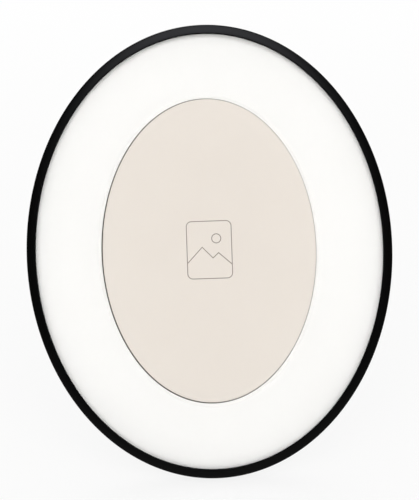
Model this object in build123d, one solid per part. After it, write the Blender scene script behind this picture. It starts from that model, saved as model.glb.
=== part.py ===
from build123d import *
import os
from math import cos, sin, radians, hypot

# Lengths are in mm. The frame is drawn face down: x runs to the right as seen from
# behind, y up the frame, and z from the front face (0) to the back. At the end it is
# stood on a table, leaning back on its strut.

# Oval rim
OUTER_A = 104.0          # half width
OUTER_B = 129.0          # half height
RIM_DEPTH = 15.0
FACE = 5.3               # width of the front face
CROWN = 0.9              # drop of the front face towards its outer edge
CROWN_BULGE = 0.12       # how far the face stands proud of a straight slope
SHOULDER = 0.4           # width of the rounded outer edge
SHOULDER_FALL = 0.6      # and its depth
EDGE_R = 0.4             # rounding of the face's inner edge
REAR_R = 0.4             # rounding of the rear edge
REAR_CHAMFER = 0.3
LIP = 2.0                # thickness of the lip in front of the glass
WALL = 2.9               # wall behind the lip
GROOVE = 1.6             # depth of the groove for the turn-buttons
GROOVE_PLAY = 0.25       # room in front of and behind a button in the groove

# Layers behind the lip
PLAY = 0.6               # gap between the layers and the rebate wall
GLASS_T = 2.0
GLASS_SEAM = 0.3
MAT_T = 2.0
MAT_PLY = 0.3            # grey backing ply of the mat
PRINT_T = 0.25
FILLER_T = 1.5
PANEL_T = 2.5

# Opening of the mat, at the foot of its bevel
OPEN_A = 61.3
OPEN_B = 87.05
OPEN_X = 0.3             # the opening sits a little off the middle
OPEN_Y = 0.3
PLY_STEP = 0.35          # how far the ply stands out past the bevel
PLY_SHIFT_X = -0.25
PLY_SHIFT_Y = 0.147
PRINT_W = 130.0
PRINT_H = 180.0

# Rivets
SHANK_R = 1.25
HEAD_R = 2.6
HEAD_T = 0.7
DOME_R = 2.4
DOME_T = 0.8
DOME_ROUND = 0.6
RUNNING = 0.05           # gap of a part that turns

# Turn-buttons
BUTTON_PLACE = 45.0      # degrees along the oval
BUTTON_IN = 16.0         # pivot to rebate wall
BUTTON_REACH = 17.3      # pivot to tip
BUTTON_TAIL_R = 5.0
BUTTON_TIP_R = 3.6
BUTTON_T = 1.0
BUTTON_ROUND = 0.3
RIB_MIDDLE = 8.6         # pivot to the middle of the pressed rib
RIB_LENGTH = 9.0
RIB_WIDTH = 2.4
RIB_T = 0.6
RIB_ROUND = 0.4
WASHER_R = 4.2
WASHER_T = 0.7

# Easel strut
LEAN = 18.0              # degrees that the frame leans back
STRUT_OPEN = 26.0        # degrees between strut and panel
STRUT_T = 2.5
STRUT_TOP = 15.0         # half width at the top
STRUT_FOOT = 19.5        # half width at the foot
STRUT_CORNER = 3.0
STRUT_GAP = 0.3          # folded strut to panel
STRUT_HEAD_GAP = 0.7     # top of the strut to the hinge knuckle
FOOT_SPARE = 4.0         # length that is cut off along the table

# Hinge
PIN_Y = 45.0
PIN_R = 1.0
PIN_FIT = 0.02           # gap round the pin in the fixed knuckles
PIN_HEAD_R = 1.6
PIN_HEAD_T = 0.7
LEAF_T = 0.8
LEAF_CLEAR = 0.4         # knuckle to the plate of the other leaf
KNUCKLE_HALF = 5.0       # half width of the middle knuckle
KNUCKLE_GAP = 0.2
STOP_GAP = 0.05
BASE_HALF = 15.0
BASE_LENGTH = 25.0
BASE_CORNER = 4.0
BASE_RIVET_X = 9.0
BASE_RIVET_LEVELS = (10.0, 19.5)   # above the pin
LEAF_HALF = 13.0
LEAF_LENGTH = 27.0
LEAF_CORNER = 5.0
LEAF_RIVETS = ((-8.5, 9.0), (8.5, 9.0), (0.0, 21.0))   # sideways, and below the pin

# Hanger
STRAP_T = 0.7
STRAP_HALF = 4.0
STRAP_LENGTH = 19.0
STRAP_CORNER = 3.0
STRAP_RIVET = 5.5        # rivet to the strap's lower end
LOOP_Y = 104.0
WIRE_R = 0.8
RING_HALF = 8.0
RING_REACH = 14.0
RING_CORNER = 2.0

REBATE_A = OUTER_A - WALL
REBATE_B = OUTER_B - WALL
LAYER_A = REBATE_A - PLAY
LAYER_B = REBATE_B - PLAY
MAT_Z = LIP + GLASS_T
PRINT_Z = MAT_Z + MAT_T
FILLER_Z = PRINT_Z + PRINT_T
PANEL_Z = FILLER_Z + FILLER_T
BACK_Z = PANEL_Z + PANEL_T
BUTTON_Z = BACK_Z + WASHER_T + RUNNING
KNUCKLE_R = PIN_R + LEAF_T
PIN_Z = BACK_Z + KNUCKLE_R
STRUT_Z = BACK_Z + STRUT_GAP
LEAF_Z = STRUT_Z + STRUT_T
LOOP_R = WIRE_R + RUNNING + STRAP_T
LOOP_Z = BACK_Z + LOOP_R


def oval(a, b, z, thick):
    """An elliptical plate from depth z."""
    return extrude(Plane.XY.offset(z) * Ellipse(a, b), thick)


def rod(x, y, z, r, length):
    """A round bar along z, from depth z."""
    bar = Cylinder(r, length, align=(Align.CENTER, Align.CENTER, Align.MIN))
    return Pos(x, y, z) * bar


def slab(x0, x1, y0, y1, z0, z1):
    """A box between two corners."""
    middle = Pos((x0 + x1) / 2, (y0 + y1) / 2, (z0 + z1) / 2)
    return middle * Box(x1 - x0, y1 - y0, z1 - z0)


def across(x0, x1, y, z, r):
    """A round bar along x."""
    return Pos((x0 + x1) / 2, y, z) * Rot(Y=90) * Cylinder(r, x1 - x0)


def back_edges(shape):
    """The edges furthest to the back."""
    return shape.edges().group_by(Axis.Z)[-1]


def upright_edges(shape, row):
    """The edges along z of the lowest (0) or the highest (-1) corners."""
    return shape.edges().filter_by(Axis.Z).group_by(Axis.Y)[row]


def rivet_hole(x, y, z, back):
    """The room that a rivet takes in what it holds: a sunk head and a shank."""
    return rod(x, y, z, HEAD_R, HEAD_T) + rod(x, y, z, SHANK_R, back - z)


def rivet(x, y, z, back):
    """A rivet with a flat head sunk at depth z and a domed head on the face at back."""
    dome = rod(x, y, back, DOME_R, DOME_T)
    return rivet_hole(x, y, z, back) + fillet(back_edges(dome), DOME_ROUND)


# Rim: one closed profile swept round the oval, with a crowned front face
section = Plane((OUTER_A, 0, 0), x_dir=(-1, 0, 0), z_dir=(0, 1, 0))
quarter_middle = 1 - cos(radians(45.0))   # depth of a quarter round's middle, by radius
edge_middle = EDGE_R * quarter_middle
rear_middle = REAR_R * quarter_middle
face_end = FACE - EDGE_R
wall_front = CROWN + SHOULDER_FALL
shoulder_middle = (SHOULDER * 0.3, CROWN + SHOULDER_FALL * 0.45)
crown_middle = ((SHOULDER + face_end) / 2, CROWN / 2 - CROWN_BULGE)
groove_front = BUTTON_Z - GROOVE_PLAY
groove_back = BUTTON_Z + BUTTON_T + GROOVE_PLAY
with BuildLine() as outline:
    ThreePointArc((0, wall_front), shoulder_middle, (SHOULDER, CROWN))
    ThreePointArc((SHOULDER, CROWN), crown_middle, (face_end, 0))
    ThreePointArc((face_end, 0), (FACE - edge_middle, edge_middle), (FACE, EDGE_R))
    Polyline(
        (FACE, EDGE_R),
        (FACE, LIP),
        (WALL, LIP),
        (WALL, groove_front),
        (WALL - GROOVE, groove_front),
        (WALL - GROOVE, groove_back),
        (WALL, groove_back),
        (WALL, RIM_DEPTH - REAR_CHAMFER),
        (WALL - REAR_CHAMFER, RIM_DEPTH),
        (REAR_R, RIM_DEPTH),
    )
    ThreePointArc(
        (REAR_R, RIM_DEPTH),
        (rear_middle, RIM_DEPTH - rear_middle),
        (0, RIM_DEPTH - REAR_R),
    )
    Line((0, RIM_DEPTH - REAR_R), (0, wall_front))
profile = section * make_face(outline.edges())
rim_path = Edge.make_ellipse(OUTER_A, OUTER_B)
oval_rim = sweep(profile, path=rim_path)

# Glass with seamed edges
glass_pane = oval(LAYER_A, LAYER_B, LIP, GLASS_T)
glass_pane = chamfer(glass_pane.edges(), GLASS_SEAM)

# Mat: a bevel of 45 degrees in the board, and a thin ply behind that stands out past it
bevel = MAT_T - MAT_PLY
mat_opening = loft(
    [
        Plane.XY.offset(MAT_Z) * Ellipse(OPEN_A + bevel, OPEN_B + bevel),
        Plane.XY.offset(MAT_Z + bevel) * Ellipse(OPEN_A, OPEN_B),
    ],
    ruled=True,
)
ply_opening = oval(OPEN_A - PLY_STEP, OPEN_B - PLY_STEP, MAT_Z + bevel, MAT_PLY)
mat_board = oval(LAYER_A, LAYER_B, MAT_Z, MAT_T)
mat_board -= Pos(OPEN_X, OPEN_Y, 0) * mat_opening
mat_board -= Pos(OPEN_X + PLY_SHIFT_X, OPEN_Y + PLY_SHIFT_Y, 0) * ply_opening

# Print, and the card that fills the depth behind it
photo_print = slab(
    -PRINT_W / 2, PRINT_W / 2, -PRINT_H / 2, PRINT_H / 2, PRINT_Z, FILLER_Z
)
filler_card = oval(LAYER_A, LAYER_B, FILLER_Z, FILLER_T)

# Turn-buttons: one towards each diagonal, with its tip in the groove of the rim
wall_x = REBATE_A * cos(radians(BUTTON_PLACE))
wall_y = REBATE_B * sin(radians(BUTTON_PLACE))
slope = hypot(wall_x / REBATE_A**2, wall_y / REBATE_B**2)
normal_x = wall_x / REBATE_A**2 / slope
normal_y = wall_y / REBATE_B**2 / slope
pivot_x = wall_x - BUTTON_IN * normal_x
pivot_y = wall_y - BUTTON_IN * normal_y
corners = {
    "upper_left": (1, 1),
    "upper_right": (-1, 1),
    "lower_left": (1, -1),
    "lower_right": (-1, -1),
}
tip = Pos(BUTTON_REACH - BUTTON_TIP_R, 0) * Circle(BUTTON_TIP_R)
button = extrude(make_hull((Circle(BUTTON_TAIL_R) + tip).edges()), BUTTON_T)
button = fillet(back_edges(button), BUTTON_ROUND)
rib = extrude(Pos(RIB_MIDDLE, 0) * SlotOverall(RIB_LENGTH, RIB_WIDTH), RIB_T)
button += Pos(0, 0, BUTTON_T) * fillet(back_edges(rib), RIB_ROUND)
button -= rod(0, 0, 0, SHANK_R + RUNNING, BUTTON_T)

turn_buttons = {}
washers = []
pivot_rivets = []
panel_holes = []
button_back = BUTTON_Z + BUTTON_T + RUNNING
for name, (side, level) in corners.items():
    x = side * pivot_x
    y = level * pivot_y
    outwards = (side * normal_x, level * normal_y, 0)
    turned = Plane((x, y, BUTTON_Z), x_dir=outwards, z_dir=(0, 0, 1))
    turn_buttons["turn_button_" + name] = turned * button
    washer = rod(x, y, BACK_Z, WASHER_R, WASHER_T)
    washers.append(washer - rod(x, y, BACK_Z, SHANK_R, WASHER_T))
    pivot_rivets.append(rivet(x, y, PANEL_Z, button_back))
    panel_holes.append(rivet_hole(x, y, PANEL_Z, BACK_Z))

# Hinge leaf on the panel: a plate above the pin, with two rolled knuckles
base_top = PIN_Y + BASE_LENGTH
base_face = BACK_Z + LEAF_T
plate_edge = KNUCKLE_R + LEAF_CLEAR
inner = KNUCKLE_HALF + KNUCKLE_GAP
hinge_base = slab(-BASE_HALF, BASE_HALF, PIN_Y, base_top, BACK_Z, base_face)
hinge_base = fillet(upright_edges(hinge_base, -1), BASE_CORNER)
hinge_base += across(-BASE_HALF, BASE_HALF, PIN_Y, PIN_Z, KNUCKLE_R)
hinge_base -= slab(
    -inner, inner, PIN_Y - plate_edge, PIN_Y + plate_edge, BACK_Z, PIN_Z + plate_edge
)
hinge_base -= across(-BASE_HALF, BASE_HALF, PIN_Y, PIN_Z, PIN_R + PIN_FIT)
base_rivets = []
for x in (-BASE_RIVET_X, BASE_RIVET_X):
    for level in BASE_RIVET_LEVELS:
        y = PIN_Y + level
        base_rivets.append(rivet(x, y, PANEL_Z, base_face))
        panel_holes.append(rivet_hole(x, y, PANEL_Z, BACK_Z))
        hinge_base -= rod(x, y, BACK_Z, SHANK_R, LEAF_T)

# Pin, headed at both ends
pin_half = BASE_HALF + RUNNING
head_end = pin_half + PIN_HEAD_T
hinge_pin = across(-pin_half, pin_half, PIN_Y, PIN_Z, PIN_R)
hinge_pin += across(-head_end, -pin_half, PIN_Y, PIN_Z, PIN_HEAD_R)
hinge_pin += across(pin_half, head_end, PIN_Y, PIN_Z, PIN_HEAD_R)

# Strut, folded flat against the panel. Its foot is cut later, along the table
lean = radians(LEAN)
upright = radians(STRUT_OPEN - LEAN)
drop = (PIN_Y + OUTER_B) * cos(lean) + (RIM_DEPTH - PIN_Z) * sin(lean)
strut_end = PIN_Y - drop / cos(upright) - FOOT_SPARE
strut_head = PIN_Y - KNUCKLE_R - STRUT_HEAD_GAP
with BuildSketch(Plane.XY.offset(STRUT_Z)) as strut_shape:
    with BuildLine():
        Polyline(
            (-STRUT_TOP, strut_head),
            (STRUT_TOP, strut_head),
            (STRUT_FOOT, strut_end),
            (-STRUT_FOOT, strut_end),
            close=True,
        )
    make_face()
    fillet(strut_shape.vertices().group_by(Axis.Y)[-1], STRUT_CORNER)
easel_strut = extrude(strut_shape.sketch, STRUT_T)

# Hinge leaf on the strut: a plate below the pin, one rolled knuckle and a stop heel
opened = radians(STRUT_OPEN)
under_heel = LEAF_Z - PIN_Z
heel = (under_heel * cos(opened) + PIN_Z - base_face - STOP_GAP) / sin(opened)
leaf_back = LEAF_Z + LEAF_T
hinge_leaf = slab(
    -LEAF_HALF, LEAF_HALF, PIN_Y - LEAF_LENGTH, PIN_Y - plate_edge, LEAF_Z, leaf_back
)
hinge_leaf = fillet(upright_edges(hinge_leaf, 0), LEAF_CORNER)
hinge_leaf += slab(
    -KNUCKLE_HALF, KNUCKLE_HALF, PIN_Y - plate_edge, PIN_Y + heel, LEAF_Z, leaf_back
)
hinge_leaf += across(-KNUCKLE_HALF, KNUCKLE_HALF, PIN_Y, PIN_Z, KNUCKLE_R)
hinge_leaf -= across(-KNUCKLE_HALF, KNUCKLE_HALF, PIN_Y, PIN_Z, PIN_R + RUNNING)
leaf_rivets = []
for x, below in LEAF_RIVETS:
    y = PIN_Y - below
    leaf_rivets.append(rivet(x, y, STRUT_Z, leaf_back))
    easel_strut -= rivet_hole(x, y, STRUT_Z, LEAF_Z)
    hinge_leaf -= rod(x, y, LEAF_Z, SHANK_R, LEAF_T)

# Hanger: a folded strap riveted to the panel, and a wire ring that hangs in its loop
strap_end = LOOP_Y - STRAP_LENGTH
strap_back = BACK_Z + 2 * STRAP_T
strap_rivet_y = strap_end + STRAP_RIVET
hanger_strap = slab(-STRAP_HALF, STRAP_HALF, strap_end, LOOP_Y, BACK_Z, strap_back)
hanger_strap = fillet(upright_edges(hanger_strap, 0), STRAP_CORNER)
hanger_strap += across(-STRAP_HALF, STRAP_HALF, LOOP_Y, LOOP_Z, LOOP_R)
hanger_strap -= across(-STRAP_HALF, STRAP_HALF, LOOP_Y, LOOP_Z, WIRE_R + RUNNING)
hanger_strap -= rod(0, strap_rivet_y, BACK_Z, SHANK_R, 2 * STRAP_T)
hanger_rivet = rivet(0, strap_rivet_y, PANEL_Z, strap_back)
panel_holes.append(rivet_hole(0, strap_rivet_y, PANEL_Z, BACK_Z))

ring_path = Plane.XY.offset(LOOP_Z) * FilletPolyline(
    (RING_HALF, LOOP_Y),
    (0, LOOP_Y - RING_REACH),
    (-RING_HALF, LOOP_Y),
    radius=RING_CORNER,
    close=True,
)
wire = Plane(ring_path @ 0, z_dir=ring_path % 0) * Circle(WIRE_R)
hanger_ring = sweep(wire, path=ring_path)

# Back panel, with the holes of all the rivets that it carries
back_panel = oval(LAYER_A, LAYER_B, PANEL_Z, PANEL_T)
for hole in panel_holes:
    back_panel -= hole

# The strut swings open on its pin, and the ring hangs straight down
pin_axis = Axis((0, PIN_Y, PIN_Z), (1, 0, 0))
loop_axis = Axis((0, LOOP_Y, LOOP_Z), (1, 0, 0))
easel_strut = easel_strut.rotate(pin_axis, -STRUT_OPEN)
hinge_leaf = hinge_leaf.rotate(pin_axis, -STRUT_OPEN)
leaf_rivets = [item.rotate(pin_axis, -STRUT_OPEN) for item in leaf_rivets]
hanger_ring = hanger_ring.rotate(loop_axis, -LEAN)

nodes = {
    "oval_rim": oval_rim,
    "glass_pane": glass_pane,
    "mat_board": mat_board,
    "photo_print": photo_print,
    "filler_card": filler_card,
    "back_panel": back_panel,
    "turn_button_washers": Compound(washers),
    "turn_button_rivets": Compound(pivot_rivets),
    "easel_strut": easel_strut,
    "hinge_base": hinge_base,
    "hinge_leaf": hinge_leaf,
    "hinge_pin": hinge_pin,
    "hinge_base_rivets": Compound(base_rivets),
    "hinge_leaf_rivets": Compound(leaf_rivets),
    "hanger_strap": hanger_strap,
    "hanger_ring": hanger_ring,
    "hanger_rivet": hanger_rivet,
}
nodes.update(turn_buttons)

# Stand the frame on a table: front towards -Y, up +Z, leaning back, with the middle of
# its depth over the origin. The rim's rear edge and the strut's foot touch the table.
up = (OUTER_B - REAR_R) * cos(lean) + (RIM_DEPTH - REAR_R) * sin(lean) + REAR_R
front_y = -(OUTER_B - SHOULDER) * sin(lean) + CROWN * cos(lean)
rear_y = (OUTER_B - REAR_R) * sin(lean) + (RIM_DEPTH - REAR_R) * cos(lean) + REAR_R
stand = Plane(
    (0, -(front_y + rear_y) / 2, up),
    x_dir=(-1, 0, 0),
    z_dir=(0, cos(lean), -sin(lean)),
)
table = slab(-OUTER_A, OUTER_A, -OUTER_B, OUTER_B, -RIM_DEPTH, 0)

os.makedirs("parts", exist_ok=True)
for name, shape in nodes.items():
    placed = stand.location * shape
    if name == "easel_strut":
        placed -= table
    export_step(placed, "parts/" + name + ".step")
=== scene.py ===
import math

import bmesh
import bpy
from mathutils import Matrix, Vector


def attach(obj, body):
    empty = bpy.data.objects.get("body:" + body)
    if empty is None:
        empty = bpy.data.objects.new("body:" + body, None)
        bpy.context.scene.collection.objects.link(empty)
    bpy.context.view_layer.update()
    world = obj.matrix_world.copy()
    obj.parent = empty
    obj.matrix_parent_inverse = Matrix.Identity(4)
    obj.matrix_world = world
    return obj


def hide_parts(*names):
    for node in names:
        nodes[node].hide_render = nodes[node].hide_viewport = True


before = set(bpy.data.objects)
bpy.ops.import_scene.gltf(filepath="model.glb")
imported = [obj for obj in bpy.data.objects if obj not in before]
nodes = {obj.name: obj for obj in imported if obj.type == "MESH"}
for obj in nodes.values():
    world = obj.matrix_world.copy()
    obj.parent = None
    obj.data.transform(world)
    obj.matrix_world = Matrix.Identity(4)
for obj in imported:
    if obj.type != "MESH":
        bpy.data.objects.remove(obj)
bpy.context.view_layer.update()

# Oval rim: a metal profile rolled into an oval, butt-welded and powder-coated satin
# black. Its crowned lip holds the glass, and a groove inside takes the turn-buttons.
# Sizes are in mm, and depths are from the front.
OUTER_A, OUTER_B, DEPTH, ROUND = 104.0, 129.0, 15.0, 0.4
FACE, CROWN, BULGE, SHOULDER, FALL = 5.3, 0.9, 0.12, 0.4, 0.6
LIP, WALL, CHAMFER = 2.0, 2.9, 0.3
GROOVE_WALL, GROOVE_FRONT, GROOVE_BACK = 1.3, 10.75, 12.25
RIM_STEPS, CROWN_STEPS, CORNER_STEPS = 320, 16, 6
# Rows of points beside the roundings, so that smooth shading leaves the walls flat.
EDGE_ROW, SHOULDER_ROW = 1.2, 0.9
LEAN = math.radians(18)
UP = Vector((0, math.sin(LEAN), math.cos(LEAN)))
BACK = Vector((0, math.cos(LEAN), -math.sin(LEAN)))

# The leaning rim touches the table with its rear edge, and its depth is centred on 0.
lift = (OUTER_B - ROUND) * math.cos(LEAN) + (DEPTH - ROUND) * math.sin(LEAN) + ROUND
front_y = CROWN * math.cos(LEAN) - (OUTER_B - SHOULDER) * math.sin(LEAN)
rear_y = (OUTER_B - ROUND) * math.sin(LEAN) + (DEPTH - ROUND) * math.cos(LEAN) + ROUND
CENTRE = Vector((0, -(front_y + rear_y) / 2000, lift / 1000))


def at(right, up, depth):
    """A place on the leaning frame, in mm from the oval's middle and from its front."""
    return CENTRE + (Vector((right, 0, 0)) + UP * up + BACK * depth) / 1000


def arc(start, middle, end, steps):
    """Points of the circular arc from start to end through middle."""
    (ax, ay), (bx, by), (cx, cy) = start, middle, end
    d = 2 * (ax * (by - cy) + bx * (cy - ay) + cx * (ay - by))
    a2, b2, c2 = ax * ax + ay * ay, bx * bx + by * by, cx * cx + cy * cy
    ox = (a2 * (by - cy) + b2 * (cy - ay) + c2 * (ay - by)) / d
    oy = (a2 * (cx - bx) + b2 * (ax - cx) + c2 * (bx - ax)) / d
    r = math.hypot(ax - ox, ay - oy)
    first = math.atan2(ay - oy, ax - ox)
    turn = (math.atan2(cy - oy, cx - ox) - first + math.pi) % (2 * math.pi) - math.pi
    angles = [first + turn * k / steps for k in range(steps + 1)]
    return [(ox + r * math.cos(t), oy + r * math.sin(t)) for t in angles]


def mesh_object(name, points, faces, sharp):
    """A smooth-shaded mesh with its faces turned outwards and its sharp edges kept."""
    mesh = bpy.data.meshes.new(name)
    mesh.from_pydata(points, [], faces)
    work = bmesh.new()
    work.from_mesh(mesh)
    bmesh.ops.recalc_face_normals(work, faces=work.faces)
    work.to_mesh(mesh)
    work.free()
    mesh.shade_smooth()
    mesh.set_sharp_from_angle(angle=math.radians(sharp))
    made = bpy.data.objects.new(name, mesh)
    bpy.context.collection.objects.link(made)
    return made


def hoops(name, rows, sharp):
    """A closed tube: each row of points is joined to the next, and the last to the first."""
    wide = len(rows[0])
    points = [p for row in rows for p in row]
    faces = []
    for k in range(len(rows)):
        low, high = k * wide, (k + 1) % len(rows) * wide
        for j in range(wide):
            n = (j + 1) % wide
            faces.append((low + j, low + n, high + n, high + j))
    return mesh_object(name, points, faces, sharp)


class Value:
    """A shader socket that Python's operators work on."""

    def __init__(self, net, socket):
        self.net, self.socket = net, socket

    def math(self, operation, *others):
        return self.net.node("Math", {"operation": operation}, dict(enumerate((self, *others))))

    def dot(self, vector):
        settings = {"operation": "DOT_PRODUCT"}
        return self.net.node("VectorMath", settings, {0: self, 1: vector}, "Value")

    def times(self, vector):
        return self.net.node("VectorMath", {"operation": "MULTIPLY"}, {0: self, 1: vector})

    def between(self, low, high):
        """0 below low, 1 above high, and smooth from one to the other."""
        settings = {"interpolation_type": "SMOOTHSTEP"}
        return self.net.node("MapRange", settings, {0: self, 1: low, 2: high})

    def blend(self, low, high):
        """A colour between low at 0 and high at 1."""
        first, second, mixed = 6, 7, 2  # the Mix node's sockets for colours
        inputs = {0: self, first: low, second: high}
        return self.net.node("Mix", {"data_type": "RGBA"}, inputs, mixed)

    def most(self, *others):
        """The largest of this value and the others."""
        found = self
        for other in others:
            found = found.math("MAXIMUM", other)
        return found

    def least(self, *others):
        """The smallest of this value and the others."""
        found = self
        for other in others:
            found = found.math("MINIMUM", other)
        return found

    def __add__(self, other):
        return self.math("ADD", other)

    def __sub__(self, other):
        return self.math("SUBTRACT", other)

    def __mul__(self, other):
        return self.math("MULTIPLY", other)

    def __radd__(self, other):
        return self.math("ADD", other)

    def __rmul__(self, other):
        return self.math("MULTIPLY", other)

    def __rsub__(self, other):
        return self.net.node("Math", {"operation": "SUBTRACT"}, {0: other, 1: self})

    def __abs__(self):
        return self.math("ABSOLUTE")


class Net:
    """The node tree of one material, or of the world."""

    def __init__(self, owner):
        owner.use_nodes = True
        self.owner, self.tree = owner, owner.node_tree
        self.tree.nodes.clear()

    def node(self, kind, settings, inputs, out=0):
        made = self.tree.nodes.new("ShaderNode" + kind)
        for key, setting in settings.items():
            setattr(made, key, setting)
        for key, given in inputs.items():
            if isinstance(given, Value):
                self.tree.links.new(given.socket, made.inputs[key])
            else:
                made.inputs[key].default_value = given
        return Value(self, made.outputs[out]) if made.outputs else made

    def place(self):
        """The piece's own coordinates, in mm."""
        return self.node("TexCoord", {}, {}, "Object").times((1000, 1000, 1000))

    def noise(self, where, scale, detail):
        return self.node("TexNoise", {}, {"Vector": where, "Scale": scale, "Detail": detail})

    def bump(self, height, strength):
        """A bump of up to 0.1 mm."""
        inputs = {"Height": height, "Strength": strength, "Distance": 0.0001}
        return self.node("Bump", {}, inputs)

    def surface(self, inputs):
        """Ends the material with one principled shader."""
        shader = self.node("BsdfPrincipled", {}, inputs)
        self.node("OutputMaterial", {}, {0: shader})
        return self.owner


def finish_of(name):
    """The empty node tree of a new material."""
    return Net(bpy.data.materials.new(name))


def dress(piece, material):
    """Gives a piece one material in place of what it had."""
    piece.data.materials.clear()
    piece.data.materials.append(material)


def grey(level, warm=0.0):
    """A colour of one level, a little warmer where warm is over 0."""
    return (level * (1 + warm), level, level * (1 - warm), 1)


mid = ROUND * (1 - math.cos(math.radians(45)))
face_end = (FACE - ROUND, 0)
wall_front = CROWN + FALL
shoulder_middle = (SHOULDER * 0.3, CROWN + FALL * 0.45)
crown_middle = ((SHOULDER + FACE - ROUND) / 2, CROWN / 2 - BULGE)
profile = arc((0, wall_front), shoulder_middle, (SHOULDER, CROWN), CORNER_STEPS)
profile += arc((SHOULDER, CROWN), crown_middle, face_end, CROWN_STEPS)[1:]
profile += arc(face_end, (FACE - mid, mid), (FACE, ROUND), CORNER_STEPS)[1:]
profile += [(FACE, EDGE_ROW), (FACE, LIP), (WALL, LIP)]
profile += [(WALL, GROOVE_FRONT), (GROOVE_WALL, GROOVE_FRONT)]
profile += [(GROOVE_WALL, GROOVE_BACK), (WALL, GROOVE_BACK)]
profile += [(WALL, DEPTH - CHAMFER), (WALL - CHAMFER, DEPTH)]
profile += arc((ROUND, DEPTH), (mid, DEPTH - mid), (0, DEPTH - ROUND), CORNER_STEPS)
profile += [(0, DEPTH - EDGE_ROW), (0, DEPTH / 2), (0, wall_front + SHOULDER_ROW)]
rows = []
for k in range(RIM_STEPS):
    t = 2 * math.pi * k / RIM_STEPS
    normal = Vector((math.cos(t) / OUTER_A, math.sin(t) / OUTER_B)).normalized()
    edge = Vector((OUTER_A * math.cos(t), OUTER_B * math.sin(t)))
    rows.append([at(*(edge - normal * inset), depth) for inset, depth in profile])
rim = hoops("rim", rows, sharp=40)
net = finish_of("satin black powder coat")
where = net.place()
peel = net.noise(where, scale=0.8, detail=2.0)
patch = net.noise(where, scale=0.06, detail=3.0)
powder_coat = net.surface(
    {
        "Base Color": patch.blend(grey(0.0006), grey(0.0010)),
        "Roughness": 0.29 + 0.08 * patch,
        "Specular IOR Level": 0.075,
        "Normal": net.bump(peel, strength=0.04),
    }
)
dress(rim, powder_coat)
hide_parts("oval_rim")
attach(rim, "frame")

# Glass: a clear oval pane, 2 mm thick with seamed edges, loose in the rebate behind
# the lip. It lets the light through and gives back a faint, even reflection.
net = finish_of("clear glass")
clear = net.node("BsdfTransparent", {}, {"Color": (0.997, 0.999, 0.998, 1)})
gloss = net.node("BsdfGlossy", {}, {"Color": (1, 1, 1, 1), "Roughness": 0.02})
facing = net.node("Fresnel", {}, {"IOR": 1.45})
pane = net.node("MixShader", {}, {0: facing * 0.6, 1: clear, 2: gloss})
net.node("OutputMaterial", {}, {0: pane})
dress(nodes["glass_pane"], net.owner)

# Mat: white board with a white core, cut at 45 degrees round an oval opening. The core is
# lighter than the face: partly the board's own white and partly painted light on the shaded
# bevel. A thin backing ply stands out past the bevel's foot, a little more on the left and
# below: its near-black colour and that offset paint the shadow line along the opening.
# The mat is held by the layers, and stays 0.02 to 0.03 mm clear of the print and glass.
LAYER_PLAY = 0.6
LAYER_A, LAYER_B = OUTER_A - WALL - LAYER_PLAY, OUTER_B - WALL - LAYER_PLAY
OPEN_A, OPEN_B, OPEN_X, OPEN_UP = 61.3, 87.05, -0.3, 0.3
# The ply's width and offset set how far its painted shadow line shows on each side, most on the
# left and below.
PLY_SHADOW_WIDTH, PLY_SHADOW_X, PLY_SHADOW_UP = 0.35, -0.05, 0.447
MAT_FRONT, MAT_BACK, BEVEL_FRONT, BEVEL_FOOT = 4.03, 5.98, 4.1, 5.7
BEVEL = BEVEL_FOOT - BEVEL_FRONT
# The bevel's upper edge is eased in two steps: how far out from its foot, and how deep.
EASED_EDGE = ((BEVEL + 0.22, MAT_FRONT), (BEVEL + 0.10, 4.05))
# The depths at which the face's colour gives way to the core's partly painted white, and that
# to the ply's painted shadow line.
CORE_DEPTHS, PLY_SHADOW_DEPTHS = (4.04, BEVEL_FRONT), (5.62, 5.68)


def hoop(a, b, depth, right=0.0, up=0.0, steps=256):
    """An ellipse of points on the frame."""
    turns = [2 * math.pi * k / steps for k in range(steps)]
    return [at(right + a * math.cos(t), up + b * math.sin(t), depth) for t in turns]


rows = [hoop(LAYER_A, LAYER_B, MAT_BACK), hoop(LAYER_A, LAYER_B, MAT_FRONT)]
for out, depth in (*EASED_EDGE, (BEVEL, BEVEL_FRONT), (0.0, BEVEL_FOOT)):
    rows.append(hoop(OPEN_A + out, OPEN_B + out, depth, OPEN_X, OPEN_UP))
for depth in (BEVEL_FOOT, MAT_BACK):
    rows.append(hoop(OPEN_A - PLY_SHADOW_WIDTH, OPEN_B - PLY_SHADOW_WIDTH, depth, PLY_SHADOW_X, PLY_SHADOW_UP))
mat = hoops("mat", rows, sharp=30)
net = finish_of("mat board")
where = net.place()
from_front = where.dot(BACK) - BACK.dot(CENTRE) * 1000
tooth = net.noise(where, scale=2.2, detail=4.0)
cloud = net.noise(where, scale=0.02, detail=2.0)
# The core's white, lighter than the face's, is partly painted light on the bevel.
core_painted_light = from_front.between(*CORE_DEPTHS)
# The ply's near-black colour is a painted shadow line at the bevel's foot.
ply_shadow_line = from_front.between(*PLY_SHADOW_DEPTHS)
face = cloud.blend((0.896, 0.883, 0.868, 1), (0.917, 0.905, 0.892, 1))
board = core_painted_light.blend(face, (0.980, 0.975, 0.963, 1))
mat_board = net.surface(
    {
        "Base Color": ply_shadow_line.blend(board, (0.080, 0.071, 0.062, 1)),
        "Roughness": 0.82 + 0.1 * tooth,
        "Specular IOR Level": 0.2,
        "Normal": net.bump(tooth, strength=0.12),
    }
)
dress(mat, mat_board)
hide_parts("mat_board")
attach(mat, "frame")

# Print: a matt beige card of 13 x 18 cm behind the mat, held by the pressure of the
# layers. It carries a plain picture sign in thin grey-brown lines: a box with rounded
# corners, a sun and two hills.
LINE, LINE_BLUR, INK = 0.25, 0.06, 0.85
BOX_SIDE, BOX_LEVEL, BOX_UP, CORNER = 9.8, 13.4, 1.0, 3.0
SUN_X, SUN_UP, SUN_R = 4.1, 7.4, 2.6
NEAR_X, NEAR_TOP, NEAR_SLOPE = 5.2, -0.8, 0.9
FAR_X, FAR_TOP, FAR_SLOPE = -4.1, 2.6, 1.05
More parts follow.
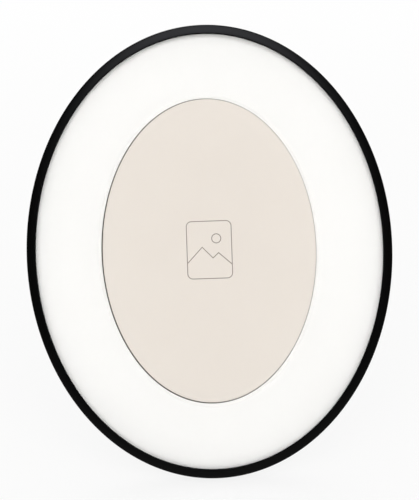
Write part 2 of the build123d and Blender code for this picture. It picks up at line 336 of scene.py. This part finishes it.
# SLANT turns a height over a slope into a distance. OUT_OF_BOX ends the hills at the box.
SLANT, OUT_OF_BOX = 0.71, 9.0
net = finish_of("beige card")
where = net.place()
right = where.dot((1, 0, 0))
up = where.dot(UP) - UP.dot(CENTRE) * 1000
from_side = (abs(right) - BOX_SIDE).most(0.0)
from_level = (abs(up - BOX_UP) - BOX_LEVEL).most(0.0)
inside = (from_side * from_side + from_level * from_level).math("SQRT") - CORNER
sun_x, sun_y = right - SUN_X, up - SUN_UP
sun = abs((sun_x * sun_x + sun_y * sun_y).math("SQRT") - SUN_R)
near_hill = NEAR_TOP - abs(right - NEAR_X) * NEAR_SLOPE
far_hill = FAR_TOP - abs(right - FAR_X) * FAR_SLOPE
hills = abs(up - near_hill.most(far_hill)) * SLANT + inside.between(-0.1, 0.0) * OUT_OF_BOX
drawing = abs(inside).least(sun, hills)
ink = 1.0 - drawing.between(LINE - LINE_BLUR, LINE + LINE_BLUR)
fibre = net.noise(where, scale=3.0, detail=3.0)
cloud = net.noise(where, scale=0.03, detail=2.0)
paper = cloud.blend((0.772, 0.712, 0.655, 1), (0.797, 0.739, 0.682, 1))
beige_card = net.surface(
    {
        "Base Color": (ink * INK).blend(paper, (0.18, 0.145, 0.115, 1)),
        "Roughness": 0.75 + 0.1 * fibre,
        "Specular IOR Level": 0.25,
        "Normal": net.bump(fibre, strength=0.06),
    }
)
dress(nodes["photo_print"], beige_card)

# Filler card: grey pulp board that presses the print and the mat against the glass.
# It is hidden between the print and the back panel.
net = finish_of("grey pulp card")
pulp = net.noise(net.place(), scale=0.9, detail=5.0)
pulp_colour = pulp.blend(grey(0.30, 0.06), grey(0.44, 0.07))
dress(nodes["filler_card"], net.surface({"Base Color": pulp_colour, "Roughness": 0.9}))


# Back panel: hardboard faced with charcoal paper, with its rivet holes punched through.
# It drops into the rebate and is held by the turn-buttons.
def charcoal_paper(net, where):
    """(colour, roughness, height) of charcoal paper with short pale fibres in it."""
    grain = net.noise(where, scale=1.6, detail=4.0)
    crosswise = net.noise(where.times((0.5, 3.5, 3.5)), scale=1.0, detail=1.0)
    upright = net.noise(where.times((3.5, 0.5, 0.5)), scale=1.0, detail=1.0)
    fibres = crosswise.between(0.60, 0.70).most(upright.between(0.60, 0.70))
    cloud = net.noise(where, scale=0.035, detail=3.0).between(0.3, 0.7)
    shade = (0.5 * cloud + 0.5 * grain).blend(grey(0.016), grey(0.040))
    colour = (0.35 * fibres).blend(shade, grey(0.10, 0.04))
    return colour, 0.66 + 0.2 * grain, grain + 0.3 * fibres


net = finish_of("charcoal paper on hardboard")
colour, rough, height = charcoal_paper(net, net.place())
faced_board = net.surface(
    {
        "Base Color": colour,
        "Roughness": rough,
        "Specular IOR Level": 0.3,
        "Normal": net.bump(height, strength=0.7),
    }
)
dress(nodes["back_panel"], faced_board)


# Turn-buttons: pressed and zinc-plated steel, each on a rivet near the panel's edge.
# Their tips reach into the rim's groove and hold the panel in.
def soften(piece, width):
    """Rounds a CAD piece's hard edges by width, in mm, and smooths its round faces."""
    merge = 0.000002
    weld = piece.modifiers.new("weld", "WELD")
    weld.merge_threshold = merge
    flats = piece.modifiers.new("flats", "DECIMATE")
    flats.decimate_type = "DISSOLVE"
    flats.angle_limit = math.radians(0.5)
    bevel = piece.modifiers.new("bevel", "BEVEL")
    bevel.width = width / 1000
    bevel.segments = 2
    bevel.limit_method = "ANGLE"
    bevel.angle_limit = math.radians(35)
    clean = piece.modifiers.new("clean", "WELD")
    clean.merge_threshold = merge
    normals = piece.modifiers.new("normals", "WEIGHTED_NORMAL")
    normals.weight = 90
    piece.data.shade_smooth()


net = finish_of("zinc-plated pressed steel")
where = net.place()
drawn = net.noise(where.times((0.2, 7.0, 7.0)), scale=1.0, detail=3.0)
bloom = net.noise(where, scale=0.3, detail=4.0)
tone = (0.55 * bloom + 0.45 * drawn).between(0.32, 0.68)
plated = net.surface(
    {
        "Base Color": tone.blend((0.42, 0.425, 0.43, 1), (0.66, 0.66, 0.655, 1)),
        "Metallic": 1.0,
        "Roughness": 0.20 + 0.18 * drawn + 0.10 * bloom,
        "Normal": net.bump(drawn, strength=0.10),
    }
)
for corner_name in ("upper_left", "upper_right", "lower_left", "lower_right"):
    button = nodes["turn_button_" + corner_name]
    dress(button, plated)
    soften(button, width=0.12)

# Washers: red-brown fibre discs, one on each rivet between the turn-button and the
# panel, so that the button turns without scoring the paper.
washers = nodes["turn_button_washers"]
net = finish_of("red-brown fibre")
fibre = net.noise(net.place(), scale=1.8, detail=4.0)
fibre_colour = fibre.blend((0.13, 0.05, 0.03, 1), (0.20, 0.085, 0.05, 1))
dress(washers, net.surface({"Base Color": fibre_colour, "Roughness": 0.7}))
soften(washers, width=0.08)

# Rivets and hinge pin: bright plated steel, turned or drawn. The rivets clamp the hinge
# leaves, the hanger strap and the turn-buttons to their boards.
net = finish_of("bright plated steel")
turned = net.noise(net.place(), scale=1.4, detail=3.0)
bright = net.surface(
    {
        "Base Color": turned.blend((0.62, 0.62, 0.60, 1), (0.74, 0.74, 0.72, 1)),
        "Metallic": 1.0,
        "Roughness": 0.20 + 0.12 * turned,
    }
)
rivets = ("turn_button_rivets", "hinge_base_rivets", "hinge_leaf_rivets", "hanger_rivet")
for name in (*rivets, "hinge_pin"):
    dress(nodes[name], bright)
    soften(nodes[name], width=0.1)

# Hinge leaves: pressed steel with rolled knuckles. One is riveted to the panel and the
# other to the strut, with a heel that stops the strut when it is open.
for name in ("hinge_base", "hinge_leaf"):
    dress(nodes[name], plated)
    soften(nodes[name], width=0.12)

# Strut: hardboard faced with charcoal paper on both sides, with raw brown edges. It
# folds flat against the panel and stands on its slanted foot when open.
STRUT_LEAN = math.radians(8)
OUT = Vector((0, math.cos(STRUT_LEAN), math.sin(STRUT_LEAN)))
RAW_ROUGHNESS = 0.9
strut = nodes["easel_strut"]
net = finish_of("charcoal paper and raw edges")
where = net.place()
colour, rough, height = charcoal_paper(net, where)
facing = abs(net.node("TexCoord", {}, {}, "Normal").dot(OUT)).between(0.55, 0.7)
pulp = net.noise(where, scale=1.3, detail=5.0)
raw = pulp.blend((0.10, 0.055, 0.028, 1), (0.22, 0.13, 0.07, 1))
raw_edged_board = net.surface(
    {
        "Base Color": facing.blend(raw, colour),
        "Roughness": RAW_ROUGHNESS - facing * (RAW_ROUGHNESS - rough),
        "Specular IOR Level": 0.3,
        "Normal": net.bump(height, strength=0.7),
    }
)
dress(strut, raw_edged_board)
soften(strut, width=0.15)

# Hanger: a strip of pressed steel folded round a ring of bright wire and riveted to the
# panel. The ring hangs straight down, and swings up to go over a nail.
strap, ring = nodes["hanger_strap"], nodes["hanger_ring"]
dress(strap, plated)
soften(strap, width=0.1)
dress(ring, bright)
ring.data.shade_smooth()

# Floor: a plain white sheet that the frame stands on. It is shown near white to the
# camera and in reflections, and keeps a part of the shadow that falls on it.
HALF = 6.0  # m
FADE_FROM, FADE_TO, NEAR_WHITE = 500.0, 1900.0, 0.85
corners = [(-HALF, -HALF, 0), (HALF, -HALF, 0), (HALF, HALF, 0), (-HALF, HALF, 0)]
ground = mesh_object("floor", corners, [(0, 1, 2, 3)], sharp=30)
net = finish_of("white sheet")
seen = net.node("LightPath", {}, {}, "Is Camera Ray").most(
    net.node("LightPath", {}, {}, "Is Glossy Ray"),
    net.node("LightPath", {}, {}, "Is Transmission Ray"),
)
matt = net.node("BsdfDiffuse", {}, {"Color": (0.90, 0.90, 0.89, 1)})
glow = net.node("Emission", {}, {"Color": (1, 1, 1, 1), "Strength": 1.0})
where = net.place()
far = where.dot(where).math("SQRT").between(FADE_FROM, FADE_TO)
white = NEAR_WHITE + (1 - NEAR_WHITE) * far
sheet = net.node("MixShader", {}, {0: seen * white, 1: matt, 2: glow})
net.node("OutputMaterial", {}, {0: sheet})
dress(ground, net.owner)


# Studio: soft lamps above, in front, at the sides and behind, and one above that shows
# only as sheen. For reflections the room is white behind the frame and dark behind the
# camera, so that the black rim keeps its depth.
def lamp(name, azimuth, elevation, distance, width, height, power, matt, shiny, tint=(1, 1, 1)):
    """A soft lamp aimed at the oval's middle, for matt surfaces, for sheen or for both.

    Angles are in degrees, the distance and the sizes in m, and the power in W.
    """
    made = bpy.data.objects.new(name, bpy.data.lights.new(name, "AREA"))
    made.data.shape = "RECTANGLE"
    made.data.size, made.data.size_y = width, height
    made.data.energy = power
    made.data.color = tint
    a, e = math.radians(azimuth), math.radians(elevation)
    away = Vector((math.sin(a) * math.cos(e), -math.cos(a) * math.cos(e), math.sin(e)))
    made.location = CENTRE + away * distance
    made.rotation_euler = (-away).to_track_quat("-Z", "Y").to_euler()
    made.visible_diffuse, made.visible_glossy = matt, shiny
    bpy.context.collection.objects.link(made)


lamp("top", 0, 38, 4.2, 3.1, 2.0, 71, matt=True, shiny=False)
lamp("sheen", 0, 50, 4.2, 2.4, 2.0, 142, matt=False, shiny=True, tint=(0.96, 0.97, 1.05))
lamp("low", 0, 3, 1.7, 1.6, 0.4, 5.9, matt=True, shiny=False)
lamp("left", -42, 8, 2.0, 1.2, 1.5, 5.2, matt=True, shiny=False)
lamp("right", 42, 8, 2.0, 1.2, 1.5, 5.5, matt=True, shiny=False)
lamp("rear", 180, 40, 2.0, 1.4, 1.0, 10, matt=True, shiny=True)

# Matt surfaces get PALE from behind the frame and FILL from the other sides. Sheen gets
# WHITE from behind and DARK from the camera's side.
DARK, PALE, WHITE, FILL = 0.06, 0.66, 1.0, 0.34
world = bpy.data.worlds.new("studio")
bpy.context.scene.world = world
net = Net(world)
camera_ray = net.node("LightPath", {}, {}, "Is Camera Ray")
through_ray = net.node("LightPath", {}, {}, "Is Transmission Ray")
diffuse_ray = net.node("LightPath", {}, {}, "Is Diffuse Ray")
glossy_ray = net.node("LightPath", {}, {}, "Is Glossy Ray")
behind = net.node("TexCoord", {}, {}, "Generated").dot((0, 1, 0)).between(-0.25, 0.35)
mirrored = glossy_ray * (DARK + (WHITE - DARK) * behind)
plain = DARK + (PALE - DARK) * behind
level = plain.most(camera_ray, through_ray, diffuse_ray * FILL, mirrored)
room = net.node("Background", {}, {"Color": (1, 1, 1, 1), "Strength": level})
net.node("OutputWorld", {}, {0: room})

# Camera: square to the face of the leaning frame, turned a little so that the oval's
# top leans to the left. One pixel is PIXEL mm of the frame, in a picture 500 high.
LENS, SENSOR, PIXEL, PICTURE_HEIGHT = 120, 36, 0.5684, 500
ROLL = math.radians(1.95)
AIM = at(0.04, 0.88, 1.2)
optics = bpy.data.cameras.new("camera")
optics.lens = LENS
optics.sensor_width = SENSOR
camera = bpy.data.objects.new("camera", optics)
bpy.context.collection.objects.link(camera)
sight = -BACK
camera_up = UP * math.cos(ROLL) + Vector((1, 0, 0)) * math.sin(ROLL)
camera_right = camera_up.cross(sight)
turn = Matrix((camera_right, camera_up, sight)).transposed().to_4x4()
away = PIXEL * PICTURE_HEIGHT / SENSOR * LENS / 1000
camera.matrix_world = Matrix.Translation(AIM + sight * away) @ turn
bpy.context.scene.camera = camera
bpy.context.scene.view_settings.view_transform = "Standard"
